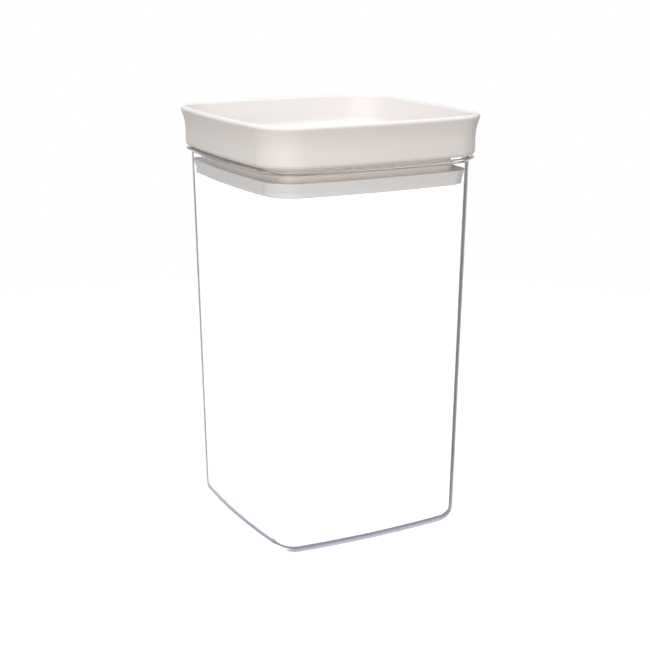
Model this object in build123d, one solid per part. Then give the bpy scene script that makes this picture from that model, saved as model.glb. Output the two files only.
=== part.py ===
from build123d import *
import math
import os

# Square storage canister with bowed sides, closed by a two-piece tray lid with a lip seal.
# Millimetres, +Z up. The origin is the centre of the base, on the surface that it stands on.
# Widths are measured across the crowns of two opposite sides.

# Canister
canister_height = 173.3
canister_width = 104.4
base_width = 97.6
base_corner_radius = 11.5
side_radius = 382.0
wall = 1.5
base_thickness = 2.4
base_edge_radius = 7.0
floor_edge_radius = 5.0
flange_reach = 2.4
flange_edge_height = 0.5
flange_depth = 2.0
flange_edge_radius = 0.25
mouth_edge_radius = 0.6

# Lid tray
lid_height = 18.1
skirt_overhang = 0.2
skirt_gap = 0.8
skirt_wall = 2.4
skirt_edge_radius = 1.9
skirt_inner_edge_radius = 0.3
tray_rise = 0.8
flare_reach = 2.4
flare_height = 7.0
flare_radius = 22.0
rim_thickness = 3.6
rim_outer_radius = 1.4
rim_inner_radius = 1.2
recess_depth = 15.0
recess_draft = 0.8
recess_edge_radius = 5.0
recess_flare_radius = 20.0

# Lid plug
plug_gap = 6.4
plug_depth = 11.6
plug_wall = 2.0
plug_floor = 2.0
plug_edge_radius = 0.8

# Snap joint between the plug and the tray
snap_rib_depth = 6.0
snap_rib_wall = 1.8
snap_bead = 0.5
snap_bead_height = 1.2
snap_bead_drop = 3.6
snap_clearance = 0.12
smallest_corner = 1.5

# Lip seal
groove_depth = 1.0
groove_height = 2.4
groove_rise = 1.4
seal_fit = 0.05
seal_drop = 0.2
seal_body_height = 4.0
seal_body_gap = 1.2
lip_thickness = 0.9
lip_height = 2.4
lip_clearance = 0.2
lip_tip_radius = 0.25
seal_edge_radius = 0.4

# Levels and half widths that follow from the sizes above
canister_half = canister_width / 2
base_half = base_width / 2
wall_draft = (canister_half - base_half) / canister_height
mouth_half = canister_half - wall
flange_half = canister_half + flange_reach

skirt_half = flange_half + skirt_overhang
skirt_bottom = canister_height + skirt_gap
lid_top = skirt_bottom + lid_height
rim_half = skirt_half + flare_reach
recess_floor = lid_top - recess_depth
tray_underside = skirt_bottom + tray_rise

plug_half = mouth_half - plug_gap
plug_inner_half = plug_half - plug_wall
plug_bottom = canister_height - plug_depth

snap_rib_half = plug_inner_half - snap_clearance
snap_rib_inner_half = snap_rib_half - snap_rib_wall
snap_bead_level = tray_underside - snap_bead_drop

seal_bottom = plug_bottom - seal_drop
seal_body_top = seal_bottom + seal_body_height
groove_bottom = plug_bottom + groove_rise


def canister_inner_half(level):
    """Half width of the canister's tapered inside at a height above its foot."""
    return base_half + wall_draft * level - wall


# Every piece is an offset of one bowed square. Its side arcs turn about axes far behind the centre,
# and its corner arcs about four corner axes. sharp_half is the half width with no corner radius left.
side_axis = side_radius - canister_half
vessel_sharp_half = base_half - base_corner_radius
plug_sharp_half = min(vessel_sharp_half, snap_rib_inner_half - smallest_corner)


def corner_place(sharp_half):
    """Distance of the corner axes from the centre planes, and the angle where sides meet corners."""
    reach = sharp_half + side_axis
    place = (math.sqrt(2 * reach**2 - side_axis**2) - side_axis) / 2
    return place, math.degrees(math.atan2(place, place + side_axis))


def footprint(half, sharp_half):
    """Face of the bowed square with that half width, in the plane of the base."""
    place, turn = corner_place(sharp_half)
    edges = Curve()
    for quarter in range(4):
        side = CenterArc((-side_axis, 0), half + side_axis, -turn, 2 * turn)
        corner = CenterArc((place, place), half - sharp_half, turn, 90 - 2 * turn)
        edges += Rot(0, 0, 90 * quarter) * (side + corner)
    return make_face(edges)


def plate(half, sharp_half, low, high):
    """Flat slab of the footprint between two levels."""
    return Pos(0, 0, low) * extrude(footprint(half, sharp_half), amount=high - low)


def section(points):
    """Closed profile of half widths and levels. Each corner is (half width, level, radius)."""
    count = len(points)
    stops = []
    for index, (x, z, radius) in enumerate(points):
        here = Vector(x, z)
        before = (Vector(*points[index - 1][:2]) - here).normalized()
        after = (Vector(*points[(index + 1) % count][:2]) - here).normalized()
        half_angle = math.radians(before.get_angle(after)) / 2
        run = radius / math.tan(half_angle)
        bisector = (before + after).normalized()
        middle = here + bisector * (radius / math.sin(half_angle) - radius)
        stops.append((here + before * run, middle, here + after * run, radius))
    edges = Curve()
    for index, (start, middle, end, radius) in enumerate(stops):
        if radius > 0:
            edges += ThreePointArc(start, middle, end)
        edges += Line(end, stops[(index + 1) % count][0])
    return Plane.XZ * make_face(edges)


def around(profile, sharp_half):
    """Ring made by carrying a profile round the four bowed sides and the four corners."""
    place, turn = corner_place(sharp_half)
    side_line = Axis((-side_axis, 0, 0), (0, 0, 1))
    corner_line = Axis((place, place, 0), (0, 0, 1))
    side = revolve(profile.rotate(side_line, -turn), side_line, 2 * turn)
    corner = revolve(profile.rotate(side_line, turn), corner_line, 90 - 2 * turn)
    ring = Part()
    for quarter in range(4):
        ring += [Rot(0, 0, 90 * quarter) * side, Rot(0, 0, 90 * quarter) * corner]
    return ring


def make_canister():
    """Clear vessel: tapered wall with an outward flange at the mouth, and a flat base."""
    floor_join = vessel_sharp_half + smallest_corner
    flange_under = canister_height - flange_depth
    wall_profile = section(
        [
            (floor_join, 0, 0),
            (base_half, 0, base_edge_radius),
            (base_half + wall_draft * flange_under, flange_under, flange_edge_radius),
            (flange_half, canister_height - flange_edge_height, flange_edge_radius),
            (flange_half, canister_height, flange_edge_radius),
            (mouth_half, canister_height, mouth_edge_radius),
            (canister_inner_half(base_thickness), base_thickness, floor_edge_radius),
            (floor_join, base_thickness, 0),
        ]
    )
    floor = plate(floor_join, vessel_sharp_half, 0, base_thickness)
    return around(wall_profile, vessel_sharp_half) + floor


def make_lid_tray():
    """Upper moulding: flared skirt round a recessed tray, with a snap rib under its floor."""
    flare_level = lid_top - flare_height
    recess_half = skirt_half - skirt_wall - recess_draft
    floor_join = vessel_sharp_half + smallest_corner
    skirt_profile = section(
        [
            (skirt_half, skirt_bottom, skirt_edge_radius),
            (skirt_half, flare_level, flare_radius),
            (rim_half, lid_top, rim_outer_radius),
            (rim_half - rim_thickness, lid_top, rim_inner_radius),
            (skirt_half - skirt_wall, flare_level, recess_flare_radius),
            (recess_half, recess_floor, recess_edge_radius),
            (floor_join, recess_floor, 0),
            (floor_join, tray_underside, 0),
            (skirt_half - skirt_wall, tray_underside, 0),
            (skirt_half - skirt_wall, skirt_bottom, skirt_inner_edge_radius),
        ]
    )
    rib_profile = section(
        [
            (snap_rib_inner_half, tray_underside, 0),
            (snap_rib_inner_half, tray_underside - snap_rib_depth, 0),
            (snap_rib_half, tray_underside - snap_rib_depth, 0),
            (snap_rib_half, snap_bead_level - snap_bead_height / 2, 0),
            (snap_rib_half + snap_bead, snap_bead_level, 0),
            (snap_rib_half, snap_bead_level + snap_bead_height / 2, 0),
            (snap_rib_half, tray_underside, 0),
        ]
    )
    floor = plate(floor_join, vessel_sharp_half, tray_underside, recess_floor)
    rib = around(rib_profile, plug_sharp_half)
    return around(skirt_profile, vessel_sharp_half) + floor + rib


def make_lid_plug():
    """Lower moulding: a cup that hangs in the mouth, with its rim against the tray's underside."""
    floor_top = plug_bottom + plug_floor
    floor_join = snap_rib_inner_half
    groove_half = plug_half - groove_depth
    catch_half = plug_inner_half + snap_bead
    plug_profile = section(
        [
            (floor_join, plug_bottom, 0),
            (plug_half, plug_bottom, plug_edge_radius),
            (plug_half, groove_bottom, 0),
            (groove_half, groove_bottom, 0),
            (groove_half, groove_bottom + groove_height, 0),
            (plug_half, groove_bottom + groove_height, 0),
            (plug_half, tray_underside, 0),
            (plug_inner_half, tray_underside, 0),
            (plug_inner_half, snap_bead_level + snap_bead_height / 2, 0),
            (catch_half, snap_bead_level, 0),
            (plug_inner_half, snap_bead_level - snap_bead_height / 2, 0),
            (plug_inner_half, floor_top, 0),
            (floor_join, floor_top, 0),
        ]
    )
    floor = plate(floor_join, plug_sharp_half, plug_bottom, floor_top)
    return around(plug_profile, plug_sharp_half) + floor


def make_lip_seal():
    """Soft ring in the plug's groove, with one thin lip that leans out to the canister's wall."""
    inner_half = plug_half + seal_fit
    tongue_half = plug_half - groove_depth + seal_fit
    tongue_bottom = groove_bottom + seal_fit
    tongue_top = groove_bottom + groove_height - seal_fit
    body_half = canister_inner_half(seal_bottom) - seal_body_gap
    lip_top = seal_body_top + lip_height
    lip_half = canister_inner_half(lip_top) - lip_clearance
    lip_root = seal_bottom + seal_body_height / 2
    seal_profile = section(
        [
            (inner_half, seal_bottom, 0),
            (body_half, seal_bottom, seal_edge_radius),
            (body_half, lip_root, seal_edge_radius),
            (lip_half, lip_top, lip_tip_radius),
            (lip_half - lip_thickness, lip_top, lip_tip_radius),
            (body_half - lip_thickness, seal_body_top, seal_edge_radius),
            (inner_half, seal_body_top, 0),
            (inner_half, tongue_top, 0),
            (tongue_half, tongue_top, 0),
            (tongue_half, tongue_bottom, 0),
            (inner_half, tongue_bottom, 0),
        ]
    )
    return around(seal_profile, plug_sharp_half)


def main():
    """Write one file for each piece."""
    os.makedirs("parts", exist_ok=True)
    pieces = {
        "canister": make_canister(),
        "lid_tray": make_lid_tray(),
        "lid_plug": make_lid_plug(),
        "lip_seal": make_lip_seal(),
    }
    for name, piece in pieces.items():
        export_step(piece, f"parts/{name}.step")
        print(name, "volume", round(piece.volume), "height", round(piece.bounding_box().size.Z, 2))


main()
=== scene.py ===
# %% [markdown]
# # A lidded glass canister
# The object is a square storage canister of clear glass with gently bowed sides. A warm off-white
# lid sits on its mouth, with a plug and a soft lip seal that hang inside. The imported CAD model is
# loaded first, because it fixes where each piece is and which body it moves with. Everything below
# rebuilds its pieces as smooth surfaces in the same place and gives them their finishes.

# %% Load the frame
import bpy
import numpy as np
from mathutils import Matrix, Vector


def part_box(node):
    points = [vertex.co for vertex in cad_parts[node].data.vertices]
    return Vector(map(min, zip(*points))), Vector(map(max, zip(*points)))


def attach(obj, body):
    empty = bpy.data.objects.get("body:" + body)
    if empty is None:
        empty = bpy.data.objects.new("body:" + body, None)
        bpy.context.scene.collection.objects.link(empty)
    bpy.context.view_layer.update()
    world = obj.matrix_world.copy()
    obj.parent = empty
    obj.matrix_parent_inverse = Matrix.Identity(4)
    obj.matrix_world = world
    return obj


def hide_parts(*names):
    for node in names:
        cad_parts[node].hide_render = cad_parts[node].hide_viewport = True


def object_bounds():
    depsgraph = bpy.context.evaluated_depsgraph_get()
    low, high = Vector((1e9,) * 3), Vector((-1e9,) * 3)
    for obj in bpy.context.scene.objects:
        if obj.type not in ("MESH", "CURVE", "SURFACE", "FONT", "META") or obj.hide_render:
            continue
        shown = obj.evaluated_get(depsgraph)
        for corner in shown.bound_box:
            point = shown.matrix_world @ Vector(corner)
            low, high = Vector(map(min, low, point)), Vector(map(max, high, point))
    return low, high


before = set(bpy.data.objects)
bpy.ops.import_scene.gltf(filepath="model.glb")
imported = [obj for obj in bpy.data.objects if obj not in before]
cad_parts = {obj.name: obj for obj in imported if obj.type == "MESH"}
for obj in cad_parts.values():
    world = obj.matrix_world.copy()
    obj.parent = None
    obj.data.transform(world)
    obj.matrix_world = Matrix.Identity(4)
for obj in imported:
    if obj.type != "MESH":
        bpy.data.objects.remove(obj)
cad_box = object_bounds()
MM = 0.001

# %% [markdown]
# ## The camera
# The view was found by fitting a perspective camera to the edges of the photograph. It stands to
# the left of the front, about 15 degrees above the horizon. A camera could also be placed by eye,
# but a fitted one lets every other difference be read as a fault in a shape or a finish. A place
# round the object is given by a turn from the front and a rise, here and for the lamps below.

# %% Place the camera
VIEW_TURN = -27.7
VIEW_RISE = 15.29
VIEW_DISTANCE = 632.0 * MM
AIM_HEIGHT = 91.1 * MM
AIM_SIDE = -0.9 * MM
LENS = 74.4
SENSOR = 36.0
QUARTER_TURN = 90.0


def direction(turn, rise):
    """Unit vector away from the object, by a turn from the front and a rise, both in degrees.

    Its parts are sin(turn) cos(rise), -cos(turn) cos(rise) and sin(rise)."""
    turn, rise = np.radians((turn, rise))
    return Vector((np.sin(turn) * np.cos(rise), -np.cos(turn) * np.cos(rise), np.sin(rise)))


image_right = direction(VIEW_TURN + QUARTER_TURN, 0.0)
aim = Vector((0.0, 0.0, AIM_HEIGHT))
camera_data = bpy.data.cameras.new("photo_camera")
camera_data.lens = LENS
camera_data.sensor_width = SENSOR
camera = bpy.data.objects.new("photo_camera", camera_data)
camera.location = aim + VIEW_DISTANCE * direction(VIEW_TURN, VIEW_RISE)
gaze = aim + AIM_SIDE * image_right - camera.location
camera.rotation_euler = gaze.to_track_quat("-Z", "Y").to_euler()
scene = bpy.context.scene
scene.collection.objects.link(camera)
scene.camera = camera
print("camera at", [round(v, 3) for v in camera.location])

# %% [markdown]
# ## One plan for every piece
# Seen from above, the vessel, the lid, the plug and the seal are offsets of one bowed square: four
# very flat arcs for the sides and four tight arcs for the corners. Offsets share their arc centres,
# so a point of the plan is an arc centre plus a radius times a normal, and only the radius changes
# from piece to piece. A rounded cube with bevels would come close, but would lose the bow.

# %% Work out the plan
SIDE_RADIUS = 382.0 * MM
CANISTER_HALF = 52.2 * MM
BASE_HALF = 48.8 * MM
BASE_CORNER_RADIUS = 11.5 * MM
SIDE_AXIS = SIDE_RADIUS - CANISTER_HALF
SHARP_HALF = BASE_HALF - BASE_CORNER_RADIUS
SIDE_STEPS = 20
CORNER_STEPS = 24


def bowed_square():
    """Arc centre, radius offset and outward normal at each stop round the plan.

    The plane is written in complex numbers. The point of half width h at a stop is
    centre + (h + offset) * normal. On a side the centre lies SIDE_AXIS behind the middle and the
    offset is SIDE_AXIS. On a corner the centre is the corner axis and the offset is -SHARP_HALF,
    so that the corner radius shrinks to nothing at that half width. A quarter is then turned four
    times by multiplying with the powers of i."""
    reach = SHARP_HALF + SIDE_AXIS
    place = (np.sqrt(2 * reach**2 - SIDE_AXIS**2) - SIDE_AXIS) / 2
    turn = np.arctan2(place, place + SIDE_AXIS)
    side = np.linspace(-turn, turn, SIDE_STEPS, endpoint=False)
    corner = np.linspace(turn, np.pi / 2 - turn, CORNER_STEPS, endpoint=False)
    on_side = np.arange(SIDE_STEPS + CORNER_STEPS) < SIDE_STEPS
    quarter_normal = np.exp(1j * np.concatenate([side, corner]))
    quarter_centre = np.where(on_side, -SIDE_AXIS, place + 1j * place)
    turns = 1j ** np.arange(4)[:, None]
    offset = np.tile(np.where(on_side, SIDE_AXIS, -SHARP_HALF), 4)
    return (turns * quarter_centre).ravel(), offset, (turns * quarter_normal).ravel()


plan_centre, plan_offset, plan_normal = bowed_square()
mouth_corner_radius = round((CANISTER_HALF - SHARP_HALF) / MM, 2)
print("plan stops:", plan_normal.size, "corner radius at the mouth:", mouth_corner_radius, "mm")

# %% [markdown]
# ## Rounded profiles
# Each piece starts as one profile, drawn in half widths and levels. Real mouldings have no sharp
# edges, so every corner of a profile gets an arc, and it is these small arcs that catch the light.
# Blender's Bevel modifier could round a sharp mesh, but arcs in the profile keep each radius exact.
# Long straight runs get extra rows near their ends, so that smooth shading stays flat between the
# arcs, which matters most on glass.

# %% Round the corners of a profile
ARC_STEPS = 9
RUN_STEPS = 5


def eased(count):
    """Values between 0 and 1, without the ends, crowded towards both by a cosine used twice."""
    even = np.arange(1, count + 1) / (count + 1)
    once = (1 - np.cos(np.pi * even)) / 2
    return (1 - np.cos(np.pi * once)) / 2


def unit(arrows):
    """Arrows divided by their lengths."""
    return arrows / np.linalg.norm(arrows, axis=-1, keepdims=True)


def rounded(corners, closed=False):
    """Profile points with an arc at each corner, for all corners at once.

    A row of corners is half width, level and radius, in millimetres. With u and v the unit vectors
    from a corner to its neighbours and t half the angle between them, the arc starts radius / tan t
    along u, ends as far along v, and turns about a centre radius / sin t along their bisector. The
    arc is the spherical blend of its two end radii. The ends of an open profile stay as they are."""
    table = np.asarray(corners, float) * MM
    spot = table[:, :2]
    inner = np.arange(len(spot)) if closed else np.arange(1, len(spot) - 1)
    here, radius = spot[inner], table[inner, 2:]
    back = unit(spot[inner - 1] - here)
    ahead = unit(spot[(inner + 1) % len(spot)] - here)
    half_angle = np.arccos(np.clip((back * ahead).sum(1, keepdims=True), -1, 1)) / 2
    start = here + back * radius / np.tan(half_angle)
    end = here + ahead * radius / np.tan(half_angle)
    centre = here + unit(back + ahead) * radius / np.sin(half_angle)
    sweep = (np.pi - 2 * half_angle)[:, :, None]
    share = np.linspace(0, 1, ARC_STEPS)[None, :, None]
    from_start = np.sin((1 - share) * sweep) * (start - centre)[:, None]
    from_end = np.sin(share * sweep) * (end - centre)[:, None]
    arcs = centre[:, None] + (from_start + from_end) / np.sin(sweep)
    ease = eased(RUN_STEPS)[None, :, None]
    run_from = end if closed else np.vstack([spot[:1], end])
    run_to = np.roll(start, -1, axis=0) if closed else np.vstack([start, spot[-1:]])
    runs = run_from[:, None] + (run_to - run_from)[:, None] * ease
    if closed:
        return np.concatenate([arcs, runs], axis=1).reshape(-1, 2)
    body = np.concatenate([arcs, runs[1:]], axis=1).reshape(-1, 2)
    return np.vstack([spot[:1], runs[0], body, spot[-1:]])


print("rows along a straight run, as shares of it:", eased(RUN_STEPS).round(3).tolist())

# %% [markdown]
# ## From a profile to a solid
# Carrying a profile round the plan is what a turner does on a lathe, only that the path is a bowed
# square and not a circle. Blender's Screw modifier makes round pieces alone, so the rows are worked
# out here as one array. A closed profile gives a ring, and an open one is shut by two flat faces.

# %% Carry a profile round the plan
def carried(name, profile, material, closed=False):
    """Mesh object whose rows are the profile's points, each carried round the plan.

    Row j is the plan at half width h(j) and level z(j). Neighbouring rows are joined by quads whose
    order makes them face away from a profile that runs with its solid on the left. A closed profile
    joins its last row to its first. An open one is capped by two flat faces."""
    ring = plan_centre + (profile[:, :1] + plan_offset) * plan_normal
    level = np.broadcast_to(profile[:, 1:], ring.shape)
    points = np.stack([ring.real, ring.imag, level], axis=-1).reshape(-1, 3)
    index = np.arange(ring.size).reshape(ring.shape)
    beside = np.roll(index, -1, axis=1)
    next_row = np.roll(index, -1, axis=0)
    next_beside = np.roll(beside, -1, axis=0)
    quads = np.stack([index, beside, next_beside, next_row], axis=-1)
    joined = quads if closed else quads[:-1]
    faces = joined.reshape(-1, 4).tolist()
    caps = [] if closed else [index[0, ::-1].tolist(), index[-1].tolist()]
    mesh = bpy.data.meshes.new(name)
    mesh.from_pydata(points.tolist(), [], faces + caps)
    mesh.shade_smooth()
    mesh.materials.append(material)
    piece = bpy.data.objects.new(name, mesh)
    scene.collection.objects.link(piece)
    print(name, "rows", len(profile), "faces", len(mesh.polygons))
    return piece


print("faces between two rows:", plan_normal.size)

# %% [markdown]
# ## Moulded skin
# The lid's two mouldings and the seal come out of moulds, and such a skin is never perfectly even.
# It has a slow drift of tone, a little unevenness of gloss, and a very fine ripple. A flat colour
# would look like a drawing. The skin is one node group with its own values for each use, because
# three finishes share it.

# %% Build the moulded skin group
DRIFT = {"Scale": 18.0, "Detail": 3.0}
SMEAR = {"Scale": 120.0, "Detail": 4.0}
SMEAR_SPREAD = {"From Min": 0.3, "From Max": 0.7}
RIPPLE = {"Detail": 2.0}
SKIN_INPUTS = {
    "Light Tone": "NodeSocketColor",
    "Deep Tone": "NodeSocketColor",
    "Gloss Low": "NodeSocketFloat",
    "Gloss High": "NodeSocketFloat",
    "Ripple Scale": "NodeSocketFloat",
}
SKIN_OUTPUTS = {"Colour": "NodeSocketColor", "Roughness": "NodeSocketFloat", "Height": "NodeSocketFloat"}


def add_node(tree, kind, place, values=None, **settings):
    """New node of that kind, with its settings and the plain values of its input sockets."""
    made = tree.nodes.new(kind)
    made.location = place
    for key, value in settings.items():
        setattr(made, key, value)
    for key, value in (values or {}).items():
        made.inputs[key].default_value = value
    return made


def moulded_skin_group():
    """Colour, roughness and bump height that vary over a moulded surface, on object coordinates."""
    group = bpy.data.node_groups.new("moulded_skin", "ShaderNodeTree")
    for socket, kind in SKIN_INPUTS.items():
        group.interface.new_socket(socket, in_out="INPUT", socket_type=kind)
    for socket, kind in SKIN_OUTPUTS.items():
        group.interface.new_socket(socket, in_out="OUTPUT", socket_type=kind)
    given = add_node(group, "NodeGroupInput", (-700, 0))
    result = add_node(group, "NodeGroupOutput", (500, 0))
    where = add_node(group, "ShaderNodeTexCoord", (-700, -250))
    drift = add_node(group, "ShaderNodeTexNoise", (-450, 150), DRIFT)
    smear = add_node(group, "ShaderNodeTexNoise", (-450, -100), SMEAR)
    ripple = add_node(group, "ShaderNodeTexNoise", (-450, -350), RIPPLE)
    tone = add_node(group, "ShaderNodeMix", (0, 150), data_type="RGBA")
    gloss = add_node(group, "ShaderNodeMapRange", (0, -100), SMEAR_SPREAD)
    link = group.links.new
    for noise in (drift, smear, ripple):
        link(where.outputs["Object"], noise.inputs["Vector"])
    link(given.outputs["Ripple Scale"], ripple.inputs["Scale"])
    link(drift.outputs["Fac"], tone.inputs["Factor"])
    link(given.outputs["Light Tone"], tone.inputs["A"])
    link(given.outputs["Deep Tone"], tone.inputs["B"])
    link(smear.outputs["Fac"], gloss.inputs["Value"])
    link(given.outputs["Gloss Low"], gloss.inputs["To Min"])
    link(given.outputs["Gloss High"], gloss.inputs["To Max"])
    link(tone.outputs["Result"], result.inputs["Colour"])
    link(gloss.outputs["Result"], result.inputs["Roughness"])
    link(ripple.outputs["Fac"], result.inputs["Height"])
    return group


moulded_skin = moulded_skin_group()
print("skin group:", [socket.name for socket in moulded_skin.interface.items_tree])

# %% [markdown]
# ## Plastic and silicone
# The lid is a warm off-white plastic with a satin gloss. The plug below it is paler and warmer than
# the lid, and that is painted light: its colour is lifted to make up for the shade under the skirt and
# warmed to stand in for warm light bounced between the parts. The seal is a paler, greyer silicone.
# All three take the moulded skin into a Principled shader. A translucent shader was left out, because
# the walls are too thick to let much light by.

# %% Make the moulded finishes
LID_TONES = {"Light Tone": (0.856, 0.816, 0.795, 1.0), "Deep Tone": (0.842, 0.798, 0.774, 1.0)}
# The plug's tones are painted light: paler and warmer than the lid's, for the shade under the skirt and
# for warm bounced light.
PLUG_TONES_WITH_PAINTED_LIGHT = {"Light Tone": (0.945, 0.878, 0.827, 1.0), "Deep Tone": (0.93, 0.855, 0.8, 1.0)}
SEAL_TONES = {"Light Tone": (0.885, 0.87, 0.86, 1.0), "Deep Tone": (0.86, 0.845, 0.832, 1.0)}
PLASTIC_SKIN = {"Gloss Low": 0.48, "Gloss High": 0.58, "Ripple Scale": 700.0}
SILICONE_SKIN = {"Gloss Low": 0.42, "Gloss High": 0.55, "Ripple Scale": 1500.0}
PLASTIC_IOR = 1.5
SILICONE_IOR = 1.41
PLASTIC_RIPPLE = 0.004 * MM
SILICONE_RIPPLE = 0.006 * MM


def start_material(name, values):
    """Material with one Principled shader whose sockets hold the given values."""
    made = bpy.data.materials.new(name)
    made.use_nodes = True
    shader = made.node_tree.nodes["Principled BSDF"]
    for key, value in values.items():
        shader.inputs[key].default_value = value
    return made, made.node_tree, shader


def moulded_material(name, skin, ior, ripple_depth):
    """Principled material whose colour, roughness and bump come from the moulded skin group."""
    made, tree, shader = start_material(name, {"IOR": ior})
    surface = add_node(tree, "ShaderNodeGroup", (-600, 100), skin, node_tree=moulded_skin)
    bump = add_node(tree, "ShaderNodeBump", (-300, -200), {"Strength": 1.0, "Distance": ripple_depth})
    tree.links.new(surface.outputs["Colour"], shader.inputs["Base Color"])
    tree.links.new(surface.outputs["Roughness"], shader.inputs["Roughness"])
    tree.links.new(surface.outputs["Height"], bump.inputs["Height"])
    tree.links.new(bump.outputs["Normal"], shader.inputs["Normal"])
    return made


lid_skin = LID_TONES | PLASTIC_SKIN
plug_skin_with_painted_light = PLUG_TONES_WITH_PAINTED_LIGHT | PLASTIC_SKIN
seal_skin = SEAL_TONES | SILICONE_SKIN
lid_plastic = moulded_material("warm_white_plastic", lid_skin, PLASTIC_IOR, PLASTIC_RIPPLE)
plug_plastic_with_painted_light = moulded_material("plug_white_with_painted_light", plug_skin_with_painted_light, PLASTIC_IOR, PLASTIC_RIPPLE)
seal_silicone = moulded_material("pale_silicone", seal_skin, SILICONE_IOR, SILICONE_RIPPLE)
print("moulded finishes:", [finish.name for finish in (lid_plastic, plug_plastic_with_painted_light, seal_silicone)])

# %% [markdown]
# ## Clear glass
# The vessel is clear glass with a faint wave in its surface and a faint blue in its depth. It is a
# Principled shader with full transmission, and an absorption inside. Cycles could send lamp light
# through real glass only as slow, noisy caustics, so shadow rays and diffuse rays take a plain
# transparent shader. So does light that the glass has turned back more than once, which would
# otherwise wander in the wall until it is lost and leave black lines.

# %% Make the glass
GLASS = {
    "Base Color": (0.985, 0.99, 0.995, 1.0),
    "Roughness": 0.0,
    "IOR": 1.5,
    "Transmission Weight": 1.0,
}
GLASS_DEPTH = {"Color": (0.72, 0.76, 0.88, 1.0), "Density": 12.0}
GLASS_WAVE = {"Scale": 30.0, "Detail": 1.0}
WAVE_HEIGHT = 0.01 * MM
MORE_THAN_ONCE = 1.5


def clear_glass_material():
    """Clear glass with a faint wave in its surface, which lets lamp light and diffuse light through."""
    made, tree, shader = start_material("clear_glass", GLASS)
    where = add_node(tree, "ShaderNodeTexCoord", (-900, -250))
    wave = add_node(tree, "ShaderNodeTexNoise", (-700, -250), GLASS_WAVE)
    bump = add_node(tree, "ShaderNodeBump", (-450, -250), {"Strength": 1.0, "Distance": WAVE_HEIGHT})
    path = add_node(tree, "ShaderNodeLightPath", (-300, 500))
    either = add_node(tree, "ShaderNodeMath", (-50, 500), operation="MAXIMUM")
    often = add_node(tree, "ShaderNodeMath", (-50, 700), {1: MORE_THAN_ONCE}, operation="GREATER_THAN")
    any_of = add_node(tree, "ShaderNodeMath", (150, 600), operation="MAXIMUM")
    through = add_node(tree, "ShaderNodeBsdfTransparent", (0, 300))
    choose = add_node(tree, "ShaderNodeMixShader", (400, 300))
    depth = add_node(tree, "ShaderNodeVolumeAbsorption", (200, -200), GLASS_DEPTH)
    output = tree.nodes["Material Output"]
    output.location = (650, 200)
    link = tree.links.new
    link(where.outputs["Object"], wave.inputs["Vector"])
    link(wave.outputs["Fac"], bump.inputs["Height"])
    link(bump.outputs["Normal"], shader.inputs["Normal"])
    link(path.outputs["Is Shadow Ray"], either.inputs[0])
    link(path.outputs["Is Diffuse Ray"], either.inputs[1])
    link(path.outputs["Glossy Depth"], often.inputs[0])
    link(either.outputs["Value"], any_of.inputs[0])
    link(often.outputs["Value"], any_of.inputs[1])
    link(any_of.outputs["Value"], choose.inputs["Fac"])
    link(shader.outputs["BSDF"], choose.inputs[1])
    link(through.outputs["BSDF"], choose.inputs[2])
    link(choose.outputs["Shader"], output.inputs["Surface"])
    link(depth.outputs["Volume"], output.inputs["Volume"])
    return made


clear_glass = clear_glass_material()
print("glass finish:", clear_glass.name, "with", len(clear_glass.node_tree.nodes), "nodes")

# %% [markdown]
# ## The vessel
# The vessel tapers a little towards its base and has a rounded foot, a flat floor and a thin flange
# that stands out round the mouth. A sheet with a Solidify modifier would give an even wall, but the
# floor is thicker than the wall and the flange is not hollow. So it is one closed skin, outside and
# inside, because glass only bends light rightly when it has its real thickness.

# %% Build the vessel
canister_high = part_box("canister")[1]
HEIGHT = canister_high.z / MM
FLANGE_HALF = canister_high.x / MM
WALL = 1.5
BASE_THICKNESS = 2.4
FOOT_RADIUS = 7.0
FLOOR_RADIUS = 5.0
MOUTH_RADIUS = 0.6
FLANGE_DEPTH = 2.0
FLANGE_EDGE = 0.5
FLANGE_RADIUS = 0.25
CAP_MARGIN = 1.5
CAP_HALF = SHARP_HALF / MM + CAP_MARGIN
base_half = BASE_HALF / MM
draft = (CANISTER_HALF / MM - base_half) / HEIGHT
flange_under = HEIGHT - FLANGE_DEPTH
mouth_half = CANISTER_HALF / MM - WALL


def inside_half(level):
    """Half width of the tapered inside of the vessel at a level, in millimetres."""
    return base_half + draft * level - WALL


canister_glass = carried(
    "canister_glass",
    rounded(
        [
            (CAP_HALF, 0.0, 0.0),
            (base_half, 0.0, FOOT_RADIUS),
            (base_half + draft * flange_under, flange_under, FLANGE_RADIUS),
            (FLANGE_HALF, HEIGHT - FLANGE_EDGE, FLANGE_RADIUS),
            (FLANGE_HALF, HEIGHT, FLANGE_RADIUS),
            (mouth_half, HEIGHT, MOUTH_RADIUS),
            (inside_half(BASE_THICKNESS), BASE_THICKNESS, FLOOR_RADIUS),
            (CAP_HALF, BASE_THICKNESS, 0.0),
        ]
    ),
    clear_glass,
)
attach(canister_glass, "canister")
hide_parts("canister")

# %% [markdown]
# ## The lid's tray
# The upper moulding of the lid is a shallow tray inside a flared skirt, with softly rounded edges at
# the rim and at the foot of the skirt. Under its floor a rib with a bead snaps into the plug. These
# could be separate rings pushed together, but one profile lets the skirt, the tray and the rib flow
# into each other, as they do in a single moulding.

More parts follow.
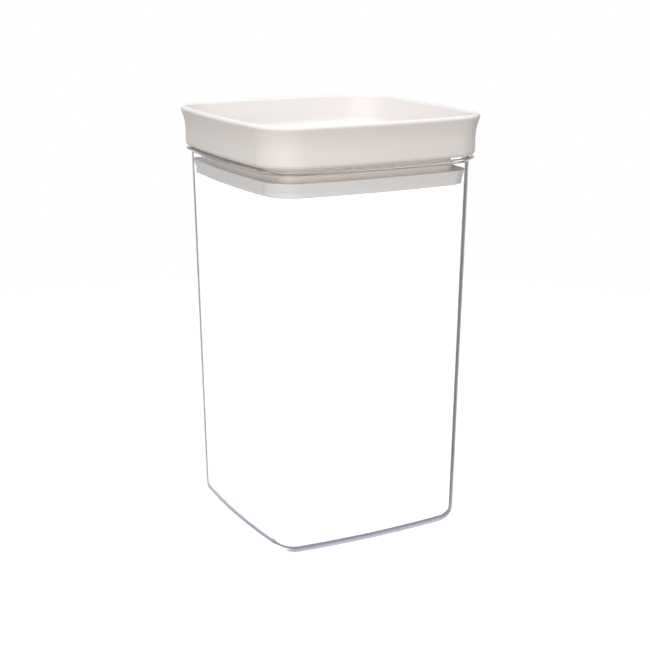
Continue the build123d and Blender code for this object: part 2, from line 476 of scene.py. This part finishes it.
# %% Read and work out the tray's sizes
tray_low, tray_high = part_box("lid_tray")
plug_low, plug_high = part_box("lid_plug")
LID_TOP = tray_high.z / MM
UNDERSIDE = plug_high.z / MM
RIB_BOTTOM = tray_low.z / MM
SKIRT_OVERHANG = 0.2
SKIRT_WALL = 2.4
SKIRT_GAP = 0.8
SKIRT_RADIUS = 1.9
FLARE_REACH = 2.4
FLARE_HEIGHT = 7.0
FLARE_RADIUS = 22.0
RIM_THICKNESS = 3.6
RIM_OUTER_RADIUS = 1.4
RIM_INNER_RADIUS = 1.2
RECESS_DEPTH = 15.0
RECESS_DRAFT = 0.8
RECESS_RADIUS = 5.0
RECESS_FLARE_RADIUS = 20.0
PLUG_GAP = 6.4
PLUG_WALL = 2.0
RIB_CLEARANCE = 0.12
RIB_WALL = 1.8
BEAD_DROP = 3.6
BEAD = 0.5
BEAD_REACH = 0.6
FINE = 0.1
SOFT = 0.3

skirt_half = FLANGE_HALF + SKIRT_OVERHANG
skirt_inner = skirt_half - SKIRT_WALL
skirt_bottom = HEIGHT + SKIRT_GAP
rim_half = skirt_half + FLARE_REACH
flare_level = LID_TOP - FLARE_HEIGHT
recess_floor = LID_TOP - RECESS_DEPTH
recess_half = skirt_inner - RECESS_DRAFT
plug_half = mouth_half - PLUG_GAP
plug_inner = plug_half - PLUG_WALL
rib_half = plug_inner - RIB_CLEARANCE
rib_inner = rib_half - RIB_WALL
bead_level = UNDERSIDE - BEAD_DROP
print("skirt and rim width:", round(2 * skirt_half, 2), "and", round(2 * rim_half, 2), "mm")

# %% Build the tray
tray = carried(
    "tray_moulding",
    rounded(
        [
            (CAP_HALF, UNDERSIDE, 0.0),
            (rib_inner, UNDERSIDE, SOFT),
            (rib_inner, RIB_BOTTOM, SOFT),
            (rib_half, RIB_BOTTOM, SOFT),
            (rib_half, bead_level - BEAD_REACH, FINE),
            (rib_half + BEAD, bead_level, FINE),
            (rib_half, bead_level + BEAD_REACH, FINE),
            (rib_half, UNDERSIDE, SOFT),
            (skirt_inner, UNDERSIDE, FINE),
            (skirt_inner, skirt_bottom, SOFT),
            (skirt_half, skirt_bottom, SKIRT_RADIUS),
            (skirt_half, flare_level, FLARE_RADIUS),
            (rim_half, LID_TOP, RIM_OUTER_RADIUS),
            (rim_half - RIM_THICKNESS, LID_TOP, RIM_INNER_RADIUS),
            (skirt_inner, flare_level, RECESS_FLARE_RADIUS),
            (recess_half, recess_floor, RECESS_RADIUS),
            (CAP_HALF, recess_floor, 0.0),
        ]
    ),
    lid_plastic,
)
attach(tray, "lid")
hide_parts("lid_tray")

# %% [markdown]
# ## The lid's plug
# The lower moulding is a shallow cup that hangs in the mouth, with its rim against the tray. A groove
# round its wall holds the seal, and a fine groove inside takes the rib's bead. Grooves could be cut
# with a Boolean modifier, but drawn in the profile they cost a few rows and leave a clean mesh.

# %% Build the plug
PLUG_BOTTOM = plug_low.z / MM
PLUG_RADIUS = 0.8
PLUG_FLOOR_THICKNESS = 2.0
GROOVE_RISE = 1.4
GROOVE_HEIGHT = 2.4
GROOVE_DEPTH = 1.0
groove_bottom = PLUG_BOTTOM + GROOVE_RISE
groove_top = groove_bottom + GROOVE_HEIGHT
groove_half = plug_half - GROOVE_DEPTH
plug_floor = PLUG_BOTTOM + PLUG_FLOOR_THICKNESS

plug = carried(
    "plug_moulding",
    rounded(
        [
            (CAP_HALF, PLUG_BOTTOM, 0.0),
            (plug_half, PLUG_BOTTOM, PLUG_RADIUS),
            (plug_half, groove_bottom, FINE),
            (groove_half, groove_bottom, FINE),
            (groove_half, groove_top, FINE),
            (plug_half, groove_top, FINE),
            (plug_half, UNDERSIDE, SOFT),
            (plug_inner, UNDERSIDE, SOFT),
            (plug_inner, bead_level + BEAD_REACH, FINE),
            (plug_inner + BEAD, bead_level, FINE),
            (plug_inner, bead_level - BEAD_REACH, FINE),
            (plug_inner, plug_floor, SOFT),
            (CAP_HALF, plug_floor, 0.0),
        ]
    ),
    plug_plastic_with_painted_light,
)
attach(plug, "lid")
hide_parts("lid_plug")

# %% [markdown]
# ## The lip seal
# A soft ring sits in the plug's groove. From its body one thin lip leans up and out until it all
# but touches the glass. A curve with a bevel object could make such a ring, but would need its own
# copy of the plan. Here it is a closed profile, whose last row joins its first.

# %% Build the seal
seal_low, seal_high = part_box("lip_seal")
SEAL_BOTTOM = seal_low.z / MM
LIP_TOP = seal_high.z / MM
LIP_CLEARANCE = 0.2
LIP_THICKNESS = 0.9
LIP_RADIUS = 0.25
SEAL_BODY_HEIGHT = 4.0
SEAL_BODY_GAP = 1.2
SEAL_RADIUS = 0.4
SEAL_FIT = 0.05
lip_half = inside_half(LIP_TOP) - LIP_CLEARANCE
lip_root = SEAL_BOTTOM + SEAL_BODY_HEIGHT / 2
seal_body_top = SEAL_BOTTOM + SEAL_BODY_HEIGHT
seal_body_half = inside_half(SEAL_BOTTOM) - SEAL_BODY_GAP
seal_inner = plug_half + SEAL_FIT
tongue_half = groove_half + SEAL_FIT

seal = carried(
    "seal_ring",
    rounded(
        [
            (seal_inner, SEAL_BOTTOM, FINE),
            (seal_body_half, SEAL_BOTTOM, SEAL_RADIUS),
            (seal_body_half, lip_root, SEAL_RADIUS),
            (lip_half, LIP_TOP, LIP_RADIUS),
            (lip_half - LIP_THICKNESS, LIP_TOP, LIP_RADIUS),
            (seal_body_half - LIP_THICKNESS, seal_body_top, SEAL_RADIUS),
            (seal_inner, seal_body_top, FINE),
            (seal_inner, groove_top - SEAL_FIT, FINE),
            (tongue_half, groove_top - SEAL_FIT, FINE),
            (tongue_half, groove_bottom + SEAL_FIT, FINE),
            (seal_inner, groove_bottom + SEAL_FIT, FINE),
        ],
        closed=True,
    ),
    seal_silicone,
    closed=True,
)
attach(seal, "lid")
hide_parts("lip_seal")

# %% [markdown]
# ## Which light sees what
# Clear glass on white is shown by its edges. What stands behind it is white, and light that was
# turned back inside the wall comes from a darker room and draws the grey lines of the rim, the sides
# and the foot. A photographer gets them with dark and pale cards beside the picture. Here the Light
# Path node tells the rays apart, so that the floor and the world can be white to the eye and to light
# that passes straight through glass, and darker to light that was both let in and turned back.

# %% Tell the rays apart
HALF_A_BOUNCE = 0.5
GUIDED_GAIN = 1.8
THROUGH_GLASS = 0.9


def ray_kinds(tree, place):
    """Sockets that say what a ray has met, as a dictionary.

    Seen is sharp sight, through is light that came through glass, trapped is light that was let into
    glass and turned back there, and gain is 1, or GUIDED_GAIN for light turned back more than once."""
    x, y = place
    path = add_node(tree, "ShaderNodeLightPath", (x, y))
    sharp = add_node(tree, "ShaderNodeMath", (x + 200, y + 100), operation="MAXIMUM")
    seen = add_node(tree, "ShaderNodeMath", (x + 400, y + 100), operation="MAXIMUM")
    any_bounce = {1: HALF_A_BOUNCE}
    let_in = add_node(tree, "ShaderNodeMath", (x + 200, y - 100), any_bounce, operation="GREATER_THAN")
    turned = add_node(tree, "ShaderNodeMath", (x + 200, y - 300), any_bounce, operation="GREATER_THAN")
    trapped = add_node(tree, "ShaderNodeMath", (x + 400, y - 200), operation="MULTIPLY")
    gain = add_node(
        tree,
        "ShaderNodeMapRange",
        (x + 200, y - 500),
        {"From Min": 1.0, "From Max": 2.0, "To Min": 1.0, "To Max": GUIDED_GAIN},
    )
    link = tree.links.new
    link(path.outputs["Is Camera Ray"], sharp.inputs[0])
    link(path.outputs["Is Transmission Ray"], sharp.inputs[1])
    link(sharp.outputs["Value"], seen.inputs[0])
    link(path.outputs["Is Singular Ray"], seen.inputs[1])
    link(path.outputs["Transmission Depth"], let_in.inputs[0])
    link(path.outputs["Glossy Depth"], turned.inputs[0])
    link(path.outputs["Glossy Depth"], gain.inputs["Value"])
    link(let_in.outputs["Value"], trapped.inputs[0])
    link(turned.outputs["Value"], trapped.inputs[1])
    return {
        "seen": seen.outputs["Value"],
        "through": path.outputs["Is Transmission Ray"],
        "trapped": trapped.outputs["Value"],
        "gain": gain.outputs["Result"],
    }


def brighter_through_glass(tree, through, plain, place):
    """Strength that is plain to the eye and THROUGH_GLASS more to rays that came through glass."""
    values = {"To Min": plain, "To Max": plain + THROUGH_GLASS}
    strength = add_node(tree, "ShaderNodeMapRange", place, values)
    tree.links.new(through, strength.inputs["Value"])
    return strength.outputs["Result"]


def choose_by_ray(tree, ray, plain, sighted, guided, output):
    """Two mixes before the output: guided for trapped rays, else sighted for seen ones, else plain."""
    show = add_node(tree, "ShaderNodeMixShader", (400, 0))
    trap = add_node(tree, "ShaderNodeMixShader", (600, 0))
    output.location = (800, 0)
    tree.links.new(ray["seen"], show.inputs["Fac"])
    tree.links.new(plain, show.inputs[1])
    tree.links.new(sighted, show.inputs[2])
    tree.links.new(ray["trapped"], trap.inputs["Fac"])
    tree.links.new(show.outputs["Shader"], trap.inputs[1])
    tree.links.new(guided, trap.inputs[2])
    tree.links.new(trap.outputs["Shader"], output.inputs["Surface"])


print("gain of light turned back more than once:", GUIDED_GAIN)

# %% [markdown]
# ## The room
# The world is an even pale light that fills the shadows on the lid. A picture of a studio could light
# it too, but plain nodes are enough for so plain a room. To light trapped in the glass the room is
# dark at the horizon and a little paler overhead, and one pale card hangs behind on the right. The
# card makes the line on the left of the base finer than the one on the right.

# %% Build the world
WHITE = (1.0, 1.0, 1.0, 1.0)
AMBIENT = 0.37
ROOM_TINT = (0.78, 0.82, 1.0, 1.0)
ROOM_LOW = 0.06
ROOM_HIGH = 0.3
LOW_TO_HIGH = {"From Max": 0.4, "To Min": ROOM_LOW}
HUNG_CARD_WAY = (0.71, 0.58, 0.4)
HUNG_CARD_GLOW = 1.8
HUNG_CARD_EDGE = {"From Min": 0.2, "From Max": 0.4, "To Min": HUNG_CARD_GLOW, "To Max": ROOM_HIGH}


def build_world():
    """White to the eye and through glass, pale to soft light, dark to light trapped in glass.

    For trapped light the strength rises with the height of its direction, from ROOM_LOW at the
    horizon to ROOM_HIGH, or to HUNG_CARD_GLOW where the direction is near HUNG_CARD_WAY."""
    world = bpy.data.worlds.new("studio")
    world.use_nodes = True
    tree = world.node_tree
    ambient = tree.nodes["Background"]
    ambient.inputs["Color"].default_value = WHITE
    ambient.inputs["Strength"].default_value = AMBIENT
    white = add_node(tree, "ShaderNodeBackground", (0, -200), {"Color": WHITE})
    room = add_node(tree, "ShaderNodeBackground", (0, -350), {"Color": ROOM_TINT})
    way = add_node(tree, "ShaderNodeTexCoord", (-900, -500))
    split = add_node(tree, "ShaderNodeSeparateXYZ", (-700, -500))
    apart = add_node(tree, "ShaderNodeVectorMath", (-700, -700), {1: HUNG_CARD_WAY}, operation="DISTANCE")
    high = add_node(tree, "ShaderNodeMapRange", (-500, -700), HUNG_CARD_EDGE)
    lift = add_node(tree, "ShaderNodeMapRange", (-500, -500), LOW_TO_HIGH)
    level = add_node(tree, "ShaderNodeMath", (-250, -450), operation="MULTIPLY")
    ray = ray_kinds(tree, (-900, 300))
    link = tree.links.new
    link(brighter_through_glass(tree, ray["through"], 1.0, (-250, -200)), white.inputs["Strength"])
    link(way.outputs["Generated"], split.inputs["Vector"])
    link(way.outputs["Generated"], apart.inputs[0])
    link(apart.outputs["Value"], high.inputs["Value"])
    link(split.outputs["Z"], lift.inputs["Value"])
    link(high.outputs["Result"], lift.inputs["To Max"])
    link(lift.outputs["Result"], level.inputs[0])
    link(ray["gain"], level.inputs[1])
    link(level.outputs["Value"], room.inputs["Strength"])
    shades = [background.outputs["Background"] for background in (ambient, white, room)]
    choose_by_ray(tree, ray, *shades, tree.nodes["World Output"])
    return world


scene.view_settings.view_transform = "Standard"
scene.world = build_world()
print("world:", scene.world.name, "ambient strength", AMBIENT)

# %% [markdown]
# ## The floor
# The canister stands on a plain pale floor that runs out of the picture. A white floor would need so
# much light that the lid would burn out, so it is a middle tone that glows a little to the eye and
# keeps the shadow. To light trapped in the glass it is dark, with a painted glow a little paler round
# the foot and in two round pale patches that stand in for cards, in front on the right and on the
# left, to clear the flange's lines.

# %% Build the floor's finish
FLOOR_TONE = (0.54, 0.505, 0.48, 1.0)
FLOOR_GLOW = 0.6
ROOM_NEAR = 0.3
NEAR_TO_FAR = {"From Min": 0.055, "From Max": 0.085, "To Min": ROOM_NEAR, "To Max": ROOM_LOW}
# The cards are painted glow in the floor's finish, seen only by trapped light, and not objects.
FRONT_CARD = ((0.13, -0.2, 0.0), 0.9)
LEFT_CARD = ((-0.25, 0.05, 0.0), 0.35)
CARD_REACH = 0.12
CARD_FADE = 0.035
CARD_EDGE = {"From Min": CARD_REACH, "From Max": CARD_REACH + CARD_FADE, "To Min": 1.0, "To Max": 0.0}
CARD_TINT = (1.0, 0.95, 0.9, 1.0)


def paint_card_glow(tree, where, strength):
    """Strength and tint of the floor for trapped light, with the painted glow of both cards added.

    Within CARD_REACH of a card's place the strength is the card's own and the tint is CARD_TINT, and
    both go back to the floor's over CARD_FADE."""
    link = tree.links.new
    tint = None
    for row, (place, glow) in zip((-800, -1200), (FRONT_CARD, LEFT_CARD)):
        apart = add_node(tree, "ShaderNodeVectorMath", (-400, row), {1: place}, operation="DISTANCE")
        inside = add_node(tree, "ShaderNodeMapRange", (-200, row), CARD_EDGE)
        brighten = add_node(tree, "ShaderNodeMix", (0, row), {"B": glow})
        colours = {"A": ROOM_TINT, "B": CARD_TINT}
        whiten = add_node(tree, "ShaderNodeMix", (0, row - 200), colours, data_type="RGBA")
        link(where, apart.inputs[0])
        link(apart.outputs["Value"], inside.inputs["Value"])
        link(inside.outputs["Result"], brighten.inputs["Factor"])
        link(inside.outputs["Result"], whiten.inputs["Factor"])
        link(strength, brighten.inputs["A"])
        if tint:
            link(tint, whiten.inputs["A"])
        strength, tint = brighten.outputs["Result"], whiten.outputs["Result"]
    return strength, tint


def floor_material():
    """Matt floor that glows to the eye and is dark to trapped light, but for the painted glow of its near
    part and cards.
    """
    made, tree, shader = start_material(
        "studio_floor", {"Base Color": FLOOR_TONE, "Roughness": 1.0, "Specular IOR Level": 0.0}
    )
    glow = add_node(tree, "ShaderNodeEmission", (0, -400))
    lifted = add_node(tree, "ShaderNodeAddShader", (200, -200))
    where = add_node(tree, "ShaderNodeTexCoord", (-600, -600))
    reach = add_node(tree, "ShaderNodeVectorMath", (-400, -600), operation="LENGTH")
    fade = add_node(tree, "ShaderNodeMapRange", (-200, -600), NEAR_TO_FAR)
    level = add_node(tree, "ShaderNodeMath", (200, -600), operation="MULTIPLY")
    dark = add_node(tree, "ShaderNodeEmission", (400, -400))
    ray = ray_kinds(tree, (-900, 600))
    link = tree.links.new
    link(brighter_through_glass(tree, ray["through"], FLOOR_GLOW, (-250, -400)), glow.inputs["Strength"])
    link(shader.outputs["BSDF"], lifted.inputs[0])
    link(glow.outputs["Emission"], lifted.inputs[1])
    link(where.outputs["Object"], reach.inputs[0])
    link(reach.outputs["Value"], fade.inputs["Value"])
    strength, tint = paint_card_glow(tree, where.outputs["Object"], fade.outputs["Result"])
    link(strength, level.inputs[0])
    link(ray["gain"], level.inputs[1])
    link(level.outputs["Value"], dark.inputs["Strength"])
    link(tint, dark.inputs["Color"])
    shades = shader.outputs["BSDF"], lifted.outputs["Shader"], dark.outputs["Emission"]
    choose_by_ray(tree, ray, *shades, tree.nodes["Material Output"])
    return made


floor_finish = floor_material()
print("floor finish:", floor_finish.name, "with", len(floor_finish.node_tree.nodes), "nodes")

# %% Lay the floor
FLOOR_DROP = 0.1 * MM
FLOOR_REACH = 0.5
FLOOR_STOPS = 96


def build_floor():
    """Round flat floor just under the foot, as one face whose corners are FLOOR_REACH from the middle."""
    around = np.linspace(0, 2 * np.pi, FLOOR_STOPS, endpoint=False)
    low = np.full_like(around, cad_box[0][2] - FLOOR_DROP)
    edge = np.stack([FLOOR_REACH * np.cos(around), FLOOR_REACH * np.sin(around), low], axis=1)
    mesh = bpy.data.meshes.new("studio_floor")
    mesh.from_pydata(edge.tolist(), [], [list(range(FLOOR_STOPS))])
    mesh.materials.append(floor_finish)
    floor = bpy.data.objects.new("studio_floor", mesh)
    scene.collection.objects.link(floor)
    return floor


build_floor()
print("floor reaches", FLOOR_REACH, "m from the middle")

# %% [markdown]
# ## The lamps
# Two large soft lamps light the lid. A warm low one in front on the left models the skirt, so that
# its left end falls off and its corner is the brightest. A cooler one high above fills the tray and
# whitens the rim. Small lamps would draw hard edges on the satin plastic.

# %% Hang the lamps
def soft_lamp(name, turn, rise, distance, size, power, colour):
    """Area lamp, size wide and high, that looks at the lid from a turn and a rise in degrees."""
    way = direction(turn, rise)
    data = bpy.data.lights.new(name, "AREA")
    data.shape = "RECTANGLE"
    data.size, data.size_y = size
    data.energy = power
    data.color = colour
    lamp = bpy.data.objects.new(name, data)
    lamp.location = Vector((0.0, 0.0, LID_TOP * MM)) + distance * way
    lamp.rotation_euler = (-way).to_track_quat("-Z", "Y").to_euler()
    scene.collection.objects.link(lamp)
    return lamp


lamps = [
    soft_lamp(
        "front_softbox",
        turn=-38.0,
        rise=6.0,
        distance=1.3,
        size=(1.2, 0.7),
        power=7.3,
        colour=(1.0, 0.96, 0.905),
    ),
    soft_lamp(
        "top_softbox",
        turn=-42.0,
        rise=78.0,
        distance=1.2,
        size=(1.2, 1.2),
        power=15.5,
        colour=(0.93, 0.965, 1.0),
    ),
]
print("lamps:", [(lamp.name, round(lamp.data.energy, 1)) for lamp in lamps])
